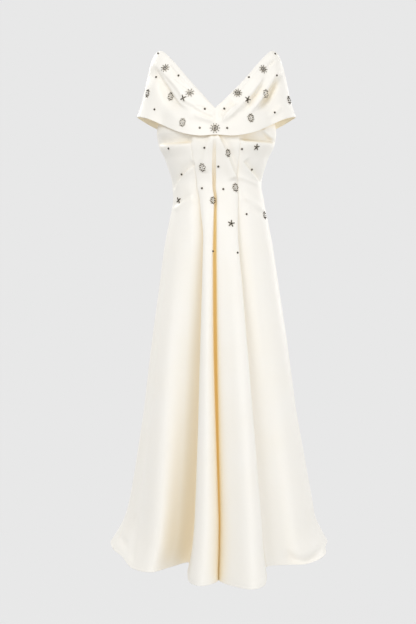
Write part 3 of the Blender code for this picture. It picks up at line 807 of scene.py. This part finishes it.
@dataclass
class Gown:
    """The bodice and skirt: one closed form, cut into seven lengths at its seams."""

    wall: float = 0.0013
    under_collar: float = 0.004
    tuck_from: float = -0.018
    tuck_run: float = 0.030
    neck_dip: float = 0.014
    seam_gap: float = 0.0001
    seam_depth: float = 0.0011
    seam_reach: float = 0.0030
    hem_roll: float = 0.0008
    fold_growth: float = 1.1
    bodice_rows: int = 84
    hip_rows: int = 44
    skirt_rows: int = 104
    hem_rows: tuple[float, ...] = (0.016, 0.012, 0.009, 0.0065, 0.0045, 0.003, 0.0015, 0.0)
    columns: list[int] = field(default_factory=list)

    def plain(self, angle: Array, height: Array) -> Array:
        """Plan points of the plain form at angles and heights.

        Args:
            angle: Angles round the body, from the centre front.
            height: Heights.

        Returns:
            Points with x and y.
        """
        knots = [row.height for row in SECTIONS]
        middle, half_width, front, back = (
            glide(knots, [getattr(row, name) for row in SECTIONS], height)
            for name in ("middle", "half_width", "front", "back")
        )
        depth = np.where(np.cos(angle) > 0, front, back)
        return np.stack((middle + half_width * np.sin(angle), -depth * np.cos(angle)), axis=-1)

    def line_points(self, line: Line) -> Array:
        """Points of one line at every row of the grid.

        Args:
            line: The line.

        Returns:
            Its points, from the top to the hem.
        """
        top = TOP_LEVEL - self.neck_dip * max(0.0, cos(radians(line.top))) ** 2
        hem = HEM_LEVEL + line.lift
        fine = 1 - np.array(self.hem_rows) / (HIP_LEVEL - HEM_LEVEL)
        heights = np.concatenate(
            (
                np.linspace(top, WAIST_LEVEL, self.bodice_rows, endpoint=False),
                np.linspace(WAIST_LEVEL, HIP_LEVEL, self.hip_rows, endpoint=False),
                HIP_LEVEL + (hem - HIP_LEVEL) * np.linspace(0, fine[0], self.skirt_rows, endpoint=False),
                HIP_LEVEL + (hem - HIP_LEVEL) * fine,
            )
        )
        last = SECTIONS[-1]
        depth = last.front if line.hem_y < 0 else last.back
        at_hem = atan2((line.hem_x - last.middle) / last.half_width, -line.hem_y / depth)
        if line.top == -180 and at_hem > 0:
            at_hem -= tau
        angles = [radians(line.top), radians(line.waist), radians(line.hip), at_hem]
        angle = glide((TOP_LEVEL, WAIST_LEVEL, HIP_LEVEL, HEM_LEVEL), angles, heights)
        grown = np.clip((line.begins - heights) / (line.begins - HEM_LEVEL), 0, None) ** self.fold_growth
        hem_plan = self.plain(np.array([at_hem]), np.array([HEM_LEVEL]))[0]
        offset = np.array((line.hem_x, line.hem_y)) - hem_plan
        plan = self.plain(angle, heights) + grown[:, None] * offset
        return np.column_stack((plan, heights))

    def form(self) -> Array:
        """Points of the whole closed form, with self.columns set to each line's column.

        Returns:
            The grid of points, before its creases.
        """
        names = [line.name for line in LINES]
        steps = []
        for cut in CUTS:
            start = names.index(cut.start)
            end = names.index(cut.end) or len(names)
            steps += [cut.steps] * (end - start)
        rings = [self.line_points(line) for line in LINES]
        count = len(rings)
        self.columns = [0]
        grid = []
        for i, step in enumerate(steps):
            four = [rings[(i + k) % count] for k in (-1, 0, 1, 2)]
            grid += [through(*four, k / step) for k in range(step)]
            self.columns.append(self.columns[-1] + step)
        return np.stack(grid, axis=1)

    def folded(self) -> tuple[Array, Array, Array]:
        """The form with its creases, seam grooves and hem roll.

        Returns:
            The points, their outward normals and the depth of the front pleat from 0 to 1, which sets the
            pleat's painted gold and glow.
        """
        points = self.form()
        normals = grid_normals(points, closed=True)
        move = relief(points, normals, BODY_CREASES)
        tuck = np.clip((points[:, :, 2] - self.tuck_from) / self.tuck_run, 0, 1)
        move -= self.under_collar * tuck
        names = [line.name for line in LINES]
        for cut in CUTS:
            seam = self.columns[names.index(cut.start)]
            distance = np.linalg.norm(points - points[:, seam : seam + 1], axis=2)
            move -= self.seam_depth * np.exp(-((distance / self.seam_reach) ** 2))
        up = np.linalg.norm(points - points[-1:], axis=2)
        move += self.hem_roll * np.exp(-(((up - 0.0022) / 0.0022) ** 2))
        move += 0.0004 * smooth_step((0.017 - up) / 0.002)
        points = points + normals * move[:, :, None]
        # The depth behind the pleat's lips sets where the pleat's gold and glow are painted.
        lips = [self.columns[names.index(name)] for name in ("left_lip", "right_lip")]
        lip_depth = (points[:, lips[0], 1] + points[:, lips[1], 1])[:, None] / 2
        deep = (points[:, :, 1] - lip_depth) / np.maximum(0.020, 0.24 * np.abs(lip_depth + 0.10))
        painted_pleat_light = np.zeros(points.shape[:2])
        painted_pleat_light[:, lips[0] : lips[1] + 1] = smooth_step(deep[:, lips[0] : lips[1] + 1])
        painted_pleat_light *= smooth_step((-0.14 - points[:, :, 2]) / 0.12)
        return points, grid_normals(points, closed=True), painted_pleat_light

    def build(self, wardrobe: Wardrobe) -> list[bpy.types.Object]:
        """Cut the form into its pieces and dress each of them.

        Args:
            wardrobe: The finishes.

        Returns:
            The cloth pieces.
        """
        points, normals, painted_pleat_light = self.folded()
        names = [line.name for line in LINES]
        pieces = []
        for cut in CUTS:
            start = self.columns[names.index(cut.start)]
            end = self.columns[names.index(cut.end) or len(LINES)]
            pick = np.arange(start, end + 1) % points.shape[1]
            outer = points[:, pick].copy()
            run = outer[:, 1] - outer[:, 0]
            outer[:, 0] += run / np.linalg.norm(run, axis=1, keepdims=True) * self.seam_gap / 2
            run = outer[:, -2] - outer[:, -1]
            outer[:, -1] += run / np.linalg.norm(run, axis=1, keepdims=True) * self.seam_gap / 2
            inner = outer - normals[:, pick] * self.wall
            shell = Cloth(cut.name + "_cloth", outer, inner, cloth_uv(outer), painted_pleat_light[:, pick])
            piece = shell.build(wardrobe)
            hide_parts(cut.name)
            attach(piece, BODY)
            pieces.append(piece)
            LOG.info("%s: %d faces", piece.name, len(piece.data.polygons))
        return pieces


@dataclass
class Collar:
    """The wide doubled collar: two draped halves that meet at the centre front and back."""

    wall: float = 0.0030
    clearance: float = 0.0008
    stand_off: float = 0.0050
    seam_gap: float = 0.0001
    softness: float = 0.0015
    # The collar's plan is about an oval of these half sizes, which gives its outward direction.
    half_width: float = 0.225
    half_depth: float = 0.125
    low_pull: float = 0.35
    # Counted in stations from the centre front: the arm, how far its sleeve-like part reaches to
    # each side, and where the shift of the centre front has died out.
    arm_station: float = 5.0
    arm_reach: float = 1.8
    settled_station: float = 2.5
    first_steps: int = 34
    along_steps: int = 22
    down_steps: int = 76
    flat: tuple[float, float] = (0.60, 0.24)
    area: float = 0.10

    def profile(self, along: float) -> tuple[Array, Array, float, float]:
        """Neck point, low point, roll and hollow at a place that counts stations from the front.

        Args:
            along: The place, as a number of stations from the centre front.

        Returns:
            The neck point, the low point, the roll and the hollow.
        """
        last = len(STATIONS) - 1
        i = min(int(along), last - 1)
        t = along - i
        mirror = np.array((-1, 1, 1))

        def at(k: int, name: str) -> Array:
            """Point of a station, mirrored past the centre front or back.

            Args:
                k: The station's number.
                name: Which of its points.

            Returns:
                The point.
            """
            if k < 0:
                return np.array(getattr(STATIONS[-k], name)) * mirror
            if k > last:
                return np.array(getattr(STATIONS[2 * last - k], name)) * mirror
            return np.array(getattr(STATIONS[k], name))

        necks = [at(i + k, "neck") for k in (-1, 0, 1, 2)]
        lows = [at(i + k, "low") for k in (-1, 0, 1, 2)]
        if i == 0:
            necks[0] = 2 * necks[1] - necks[2]
        ease = (1 - t, t)
        roll = ease[0] * STATIONS[i].roll + ease[1] * STATIONS[i + 1].roll
        hollow = ease[0] * STATIONS[i].hollow + ease[1] * STATIONS[i + 1].hollow
        return through(*necks, t), through(*lows, t), roll, hollow

    def surface(self, side: int) -> Array:
        """Points of one half's outer surface, before its folds.

        Args:
            side: -1 for the left half, 1 for the right.

        Returns:
            The grid of points, from the neck down.
        """
        last = len(STATIONS) - 1
        down = np.linspace(0, 1, self.down_steps + 1)[:, None]
        rest = 1 - down
        columns = []
        fine = np.linspace(0, 1, self.first_steps, endpoint=False) ** 1.5
        rest_of = np.linspace(1, last, (last - 1) * self.along_steps + 1)
        for along in np.concatenate((fine, rest_of)):
            neck, low, roll, hollow = self.profile(along)
            out = np.array((low[0] / self.half_width**2, low[1] / self.half_depth**2, 0.0))
            out /= np.linalg.norm(out)
            near_neck = neck + out * roll
            near_low = low + (neck - low) * self.low_pull - out * hollow
            line = neck * rest**3 + near_neck * (3 * rest**2 * down)
            line = line + near_low * (3 * rest * down**2) + low * down**3
            close = smooth_step(abs(along - self.arm_station) - self.arm_reach)
            line = line + out * self.stand_off * close * smooth_step(down * 2.2 - 0.5)
            line[:, 0] = side * line[:, 0] + CENTER_FRONT * max(0.0, 1 - along / self.settled_station) ** 2
            columns.append(line)
        return np.stack(columns, axis=1)

    def off_body(self, points: Array, gap: float) -> Array:
        """Ease points that would touch the bodice out to a distance from it.

        Args:
            points: The grid of points.
            gap: The least distance from the bodice's plain form.

        Returns:
            The moved points.
        """
        knots = [row.height for row in SECTIONS]
        height = np.minimum(points[:, :, 2], TOP_LEVEL)
        half_width, front, back = (
            glide(knots, [getattr(row, name) for row in SECTIONS], height)
            for name in ("half_width", "front", "back")
        )
        depth = np.where(points[:, :, 1] < 0, front, back)
        reach = np.hypot(points[:, :, 0] / (half_width + gap), points[:, :, 1] / (depth + gap))
        radius = np.hypot(points[:, :, 0], points[:, :, 1])
        clear = radius - radius / np.maximum(reach, 0.2)
        eased = (clear + np.sqrt(clear**2 + 4 * self.softness**2)) / 2
        share = smooth_step((TOP_LEVEL + 0.040 - points[:, :, 2]) / 0.040)
        scale = 1 + (eased - clear) * share / np.maximum(radius, 0.01)
        moved = points.copy()
        moved[:, :, 0] *= scale
        moved[:, :, 1] *= scale
        return moved

    def build(self, wardrobe: Wardrobe) -> list[bpy.types.Object]:
        """Make and dress both halves.

        Args:
            wardrobe: The finishes.

        Returns:
            The two halves.
        """
        pieces = []
        for name, side in (("collar_left", -1), ("collar_right", 1)):
            points = self.surface(side)
            normals = grid_normals(points, closed=False) * side
            down = np.linspace(0, 1, len(points))[:, None]
            edge = smooth_step(down / 0.07)
            move = relief(points, normals, COLLAR_CREASES) * edge
            points = points + normals * move[:, :, None]
            points = self.off_body(points, self.clearance + self.wall)
            normals = grid_normals(points, closed=False) * side
            inner = self.off_body(points - normals * self.wall, self.clearance)
            middle = np.where(np.arange(points.shape[1]) < points.shape[1] // 2, CENTER_FRONT, 0.0)
            for grid in (points, inner):
                for column in (0, -1):
                    grid[:, column, 0] = middle[column] + side * self.seam_gap / 2
            uv = cloth_uv(points)
            painted_pleat_light = np.zeros(points.shape[:2])
            piece = Cloth(name + "_cloth", points, inner, uv, painted_pleat_light, rim=0.0011).build(wardrobe)
            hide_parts(name)
            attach(piece, BODY)
            pieces.append(piece)
            LOG.info("%s: %d faces", piece.name, len(piece.data.polygons))
        return pieces


@dataclass(frozen=True)
class Stone:
    """A cut stone of a motif: its place, length, width, height and turn in the motif's plane."""

    x: float
    y: float
    length: float
    width: float
    height: float
    turn: float
    clear: bool = False


class Jeweller:
    """Lays out, sets and sews on the crystals."""

    # Motifs on a turning edge are sewn so that they tip a little to the front.
    lean: float = 0.9
    # Each motif has a small stiff backing, which bridges a crease that is deeper than this.
    bridge: float = 0.0040

    def __init__(self, cloth: list[bpy.types.Object], wardrobe: Wardrobe) -> None:
        """Keep the finishes and a search tree over the cloth's outer faces.

        Args:
            cloth: The cloth pieces.
            wardrobe: The finishes.
        """
        self.wardrobe = wardrobe
        bm = bmesh.new()
        for piece in cloth:
            bm.from_mesh(piece.data)
        self.tree = BVHTree.FromBMesh(bm)
        bm.free()

    def layout(self, motif: Motif) -> list[Stone]:
        """Places of a motif's stones round its centre, in metres.

        Args:
            motif: The motif.

        Returns:
            Its stones.
        """
        radius = motif.across / 2
        count = motif.petals
        start = radians(motif.turn)
        stones = []

        def ring(
            wide: float,
            high: float,
            shift: float,
            size: tuple[float, float, float],
            lean: float,
            clear: bool = False,
        ) -> None:
            """Add a ring of equal stones on an oval.

            Args:
                wide: The oval's half width.
                high: Its half height.
                shift: Turn, as a share of the pitch.
                size: Length, width and height of a stone.
                lean: Turn of each stone from the radial line.
                clear: Whether the stones are clear.
            """
            for k in range(count):
                angle = start + tau * (k + shift) / count
                x = wide * cos(angle)
                y = high * sin(angle)
                stones.append(Stone(x, y, *size, atan2(y, x) + lean, clear))

        if motif.spray in (Spray.BROOCH, Spray.STARBURST):
            stones.append(Stone(0, 0, 0.0030, 0.0030, 0.0026, 0))
            ring(0.0029, 0.0029, 0.5, (0.0018, 0.0016, 0.0018), 0, True)
            ring(radius * 0.50, radius * 0.50, 0, (radius * 0.34, 0.0027, 0.0020), 0)
            ring(radius * 0.86, radius * 0.86, 0, (radius * 0.22, 0.0022, 0.0015), 0)
        elif motif.spray is Spray.WREATH:
            stones.append(Stone(0, 0, 0.0068, 0.0048, 0.0028, pi / 2, clear=True))
            ring(radius * 0.56, radius * 0.74, 0, (0.0046, 0.0032, 0.0021), 0.3)
            ring(radius * 0.78, radius * 0.98, 0.5, (0.0026, 0.0024, 0.0016), 0)
        else:
            stones.append(Stone(0, 0, 0.0036, 0.0036, 0.0022, 0))
            ring(radius * 0.48, radius * 0.48, 0, (0.0052, 0.0034, 0.0020), 0)
            ring(radius * 0.90, radius * 0.90, 0, (0.0030, 0.0030, 0.0017), 0)
        return stones

    def land(self, x: float, z: float) -> tuple[Vector, Vector] | None:
        """Point and outward normal of the front cloth at a place.

        Args:
            x: The place across the front.
            z: Its height.

        Returns:
            The point and the normal, or None off the cloth.
        """
        place, normal, _, _ = self.tree.ray_cast(Vector((x, -1, z)), Vector((0, 1, 0)))
        return None if place is None else (place, normal)

    def outward(self, x: float, z: float, radius: float, center: tuple[Vector, Vector]) -> Vector:
        """Average direction out of the cloth round a place, tipped a little to the front.

        Args:
            x: The place across the front.
            z: Its height.
            radius: How far round it the cloth is felt.
            center: Point and normal of the cloth at the place itself.

        Returns:
            The unit direction.
        """
        round_it = [
            self.land(x + reach * radius * cos(step * pi / 4), z + reach * radius * sin(step * pi / 4))
            for reach in (0.5, 1.0)
            for step in range(8)
        ]
        near = [hit[1] for hit in round_it if hit and abs(hit[0].y - center[0].y) < 2 * radius]
        average = (sum(near, Vector()) + center[1] * 2).normalized()
        turned_away = 0.3 + max(0.0, 0.7 + average.y)
        return (average + Vector((0, -self.lean * turned_away, 0))).normalized()

    def set_stone(self, bm: bmesh.types.BMesh, stone: Stone, frame_matrix: Matrix) -> None:
        """Add one faceted stone in its metal cup.

        Args:
            bm: The mesh that takes it.
            stone: The stone.
            frame_matrix: The motif's place and facing.
        """
        sides = 6 if stone.length > stone.width * 1.3 else 8
        layers = ((1.08, 0.98, 0.42, 1), (0.96, 0.55, 0.98, 0))
        for low, high, top, material in layers:
            base = 0.0 if material else 0.36 * stone.height
            made = bmesh.ops.create_cone(
                bm,
                cap_ends=True,
                cap_tris=False,
                segments=sides,
                radius1=low * 0.5,
                radius2=high * 0.5,
                depth=top * stone.height - base,
            )
            shift = Matrix.Translation((0, 0, (top * stone.height + base) / 2))
            size = Matrix.Diagonal((stone.length, stone.width, 1, 1))
            turn = Matrix.Rotation(stone.turn, 4, "Z")
            bmesh.ops.transform(bm, matrix=frame_matrix @ turn @ size @ shift, verts=made["verts"])
            for face in {face for vert in made["verts"] for face in vert.link_faces}:
                face.material_index = material or 2 * stone.clear

    def finish(self, name: str, bm: bmesh.types.BMesh) -> bpy.types.Object:
        """Turn the stones into one object with its three finishes.

        Args:
            name: The object's name.
            bm: The stones.

        Returns:
            The object.
        """
        bmesh.ops.recalc_face_normals(bm, faces=bm.faces[:])
        mesh = bpy.data.meshes.new(name)
        bm.to_mesh(mesh)
        bm.free()
        mesh.materials.append(self.wardrobe.crystal)
        mesh.materials.append(self.wardrobe.setting)
        mesh.materials.append(self.wardrobe.clear)
        made = bpy.data.objects.new(name, mesh)
        bpy.context.scene.collection.objects.link(made)
        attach(made, BODY)
        return made

    def motif(self, motif: Motif) -> bpy.types.Object:
        """Sew one motif on, each stone on the cloth under it.

        Args:
            motif: The motif.

        Returns:
            The motif's object.
        """
        bm = bmesh.new()
        center = self.land(motif.x, motif.z)
        outward = self.outward(motif.x, motif.z, motif.across / 2, center)
        facing = outward.to_track_quat("Z", "Y").to_matrix().to_4x4()
        for stone in self.layout(motif):
            spot = center[0] + facing.to_3x3() @ Vector((stone.x, stone.y, 0))
            found = self.tree.ray_cast(spot + outward * 0.012, -outward, 0.012 + self.bridge)
            place = found[0] if found[0] is not None else spot - outward * self.bridge / 2
            self.set_stone(bm, stone, Matrix.Translation(place + outward * 0.0005) @ facing)
        piece = self.finish(motif.name + "_stones", bm)
        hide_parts(motif.name)
        return piece

    def singles(self) -> bpy.types.Object:
        """Sew on the single round stones.

        Returns:
            All of them, as one object.
        """
        bm = bmesh.new()
        stone = Stone(0, 0, 0.0056, 0.0056, 0.0030, 0)
        for x, z in SINGLE_STONES:
            found = self.land(x * MM, z * MM)
            if found is None:
                LOG.warning("no cloth under the stone at %s, %s", x, z)
                continue
            outward = self.outward(x * MM, z * MM, stone.length / 2, found)
            facing = outward.to_track_quat("Z", "Y").to_matrix().to_4x4()
            self.set_stone(bm, stone, Matrix.Translation(found[0] + outward * 0.0004) @ facing)
        return self.finish("single_stones", bm)


@dataclass
class Studio:
    """Plain pale floor, soft light and the photograph's viewpoint."""

    eye: tuple[float, float, float] = (-0.0243, -3.12, -0.406)
    tilt: float = 2.1
    lens: float = 62.9
    floor_level: float = -1.75
    paper: str = "E8E8E8"
    room: float = 0.82
    low_room: float = 0.80

    def camera(self) -> None:
        """Stand the camera at the photograph's viewpoint."""
        data = bpy.data.cameras.new("camera")
        data.lens = self.lens
        data.sensor_width = 36.0
        camera = bpy.data.objects.new("camera", data)
        camera.location = self.eye
        camera.rotation_euler = (radians(90 - self.tilt), 0, 0)
        bpy.context.scene.collection.objects.link(camera)
        bpy.context.scene.camera = camera

    def floor(self) -> None:
        """Lay a pale floor that fades into the background far from the gown."""
        bm = bmesh.new()
        bmesh.ops.create_circle(bm, cap_ends=True, segments=96, radius=60)
        bmesh.ops.translate(bm, verts=bm.verts, vec=(0, 0, self.floor_level))
        mesh = bpy.data.meshes.new("studio_floor")
        bm.to_mesh(mesh)
        bm.free()
        material = bpy.data.materials.new("matt_paper")
        material.use_nodes = True
        tree = material.node_tree
        shader = tree.nodes["Principled BSDF"]
        shader.inputs["Base Color"].default_value = linear("E0E0E0")
        shader.inputs["Roughness"].default_value = 0.9
        place = add_node(tree, "ShaderNodeTexCoord")
        away = add_node(tree, "ShaderNodeVectorMath", {0: place.outputs["Object"]}, operation="LENGTH")
        fade = add_node(
            tree, "ShaderNodeMapRange", {0: away.outputs["Value"], 1: 2.0, 2: 3.2, 3: 0.93, 4: 1.0}
        )
        glow = add_node(tree, "ShaderNodeEmission", {"Color": linear(self.paper), "Strength": 1.0})
        mix = add_node(
            tree, "ShaderNodeMixShader", {0: fade.outputs[0], 1: shader.outputs[0], 2: glow.outputs[0]}
        )
        output = next(node for node in tree.nodes if node.bl_idname == "ShaderNodeOutputMaterial")
        tree.links.new(mix.outputs[0], output.inputs["Surface"])
        mesh.materials.append(material)
        floor = bpy.data.objects.new("studio_floor", mesh)
        bpy.context.scene.collection.objects.link(floor)
        floor.visible_diffuse = False

    def light(self, name: str, place: tuple, aim: tuple, size: float, power: float, color: str) -> None:
        """Hang one soft area light.

        Args:
            name: The light's name.
            place: Where it hangs.
            aim: The point that it faces.
            size: Its side in metres.
            power: Its power in watts.
            color: Its colour, as sRGB hex.
        """
        data = bpy.data.lights.new(name, "AREA")
        data.size = size
        data.energy = power
        data.color = linear(color)[:3]
        lamp = bpy.data.objects.new(name, data)
        lamp.location = place
        lamp.rotation_euler = (Vector(aim) - Vector(place)).to_track_quat("-Z", "Y").to_euler()
        bpy.context.scene.collection.objects.link(lamp)

    def build(self) -> None:
        """Set up the camera, floor, background and lights."""
        self.camera()
        self.floor()
        world = bpy.data.worlds.new("studio")
        world.use_nodes = True
        tree = world.node_tree
        background = tree.nodes["Background"]
        background.inputs["Color"].default_value = linear(self.paper)
        # The paper behind the gown is lit on its own, brighter than the room's even light.
        path = add_node(tree, "ShaderNodeLightPath")
        level = add_node(
            tree,
            "ShaderNodeMapRange",
            {0: path.outputs["Is Camera Ray"], 1: 0.0, 2: 1.0, 3: self.room, 4: 1.0},
        )
        # The room is a little darker below the gown than above it.
        around = add_node(tree, "ShaderNodeTexCoord")
        split = add_node(tree, "ShaderNodeSeparateXYZ", {0: around.outputs["Generated"]})
        below = add_node(
            tree,
            "ShaderNodeMapRange",
            {0: split.outputs[2], 1: -0.5, 2: 0.3, 3: self.low_room, 4: self.room},
        )
        tree.links.new(below.outputs[0], level.inputs[3])
        tree.links.new(level.outputs[0], background.inputs["Strength"])
        scene = bpy.context.scene
        scene.world = world
        scene.view_settings.view_transform = "Standard"
        self.light("key", (-1.7, -3.3, 2.5), (0, 0, -0.4), 1.3, 64, "FFFEFC")
        self.light("fill", (2.4, -3.2, -0.5), (0, 0, -0.5), 2.4, 34, "FFFFFF")
        self.light("back_left", (-2.6, 3.0, 2.2), (0, 0, -0.4), 1.8, 66, "FFFFFF")
        self.light("back_right", (2.8, 2.6, 0.6), (0, 0, -0.7), 2.4, 40, "FFFFFF")
        LOG.info("studio ready")


def main() -> None:
    """Build the gown, its crystals and the studio, and log the pieces' face counts."""
    logging.basicConfig(level=logging.INFO, format="%(name)s: %(message)s")
    wardrobe = Wardrobe()
    cloth = Gown().build(wardrobe)
    cloth += Collar().build(wardrobe)
    jeweller = Jeweller(cloth, wardrobe)
    for motif in MOTIFS:
        jeweller.motif(motif)
    jeweller.singles()
    LOG.info("%d motifs sewn on", len(MOTIFS))
    Studio().build()
    bpy.context.view_layer.update()


if __name__ == "__main__":
    main()
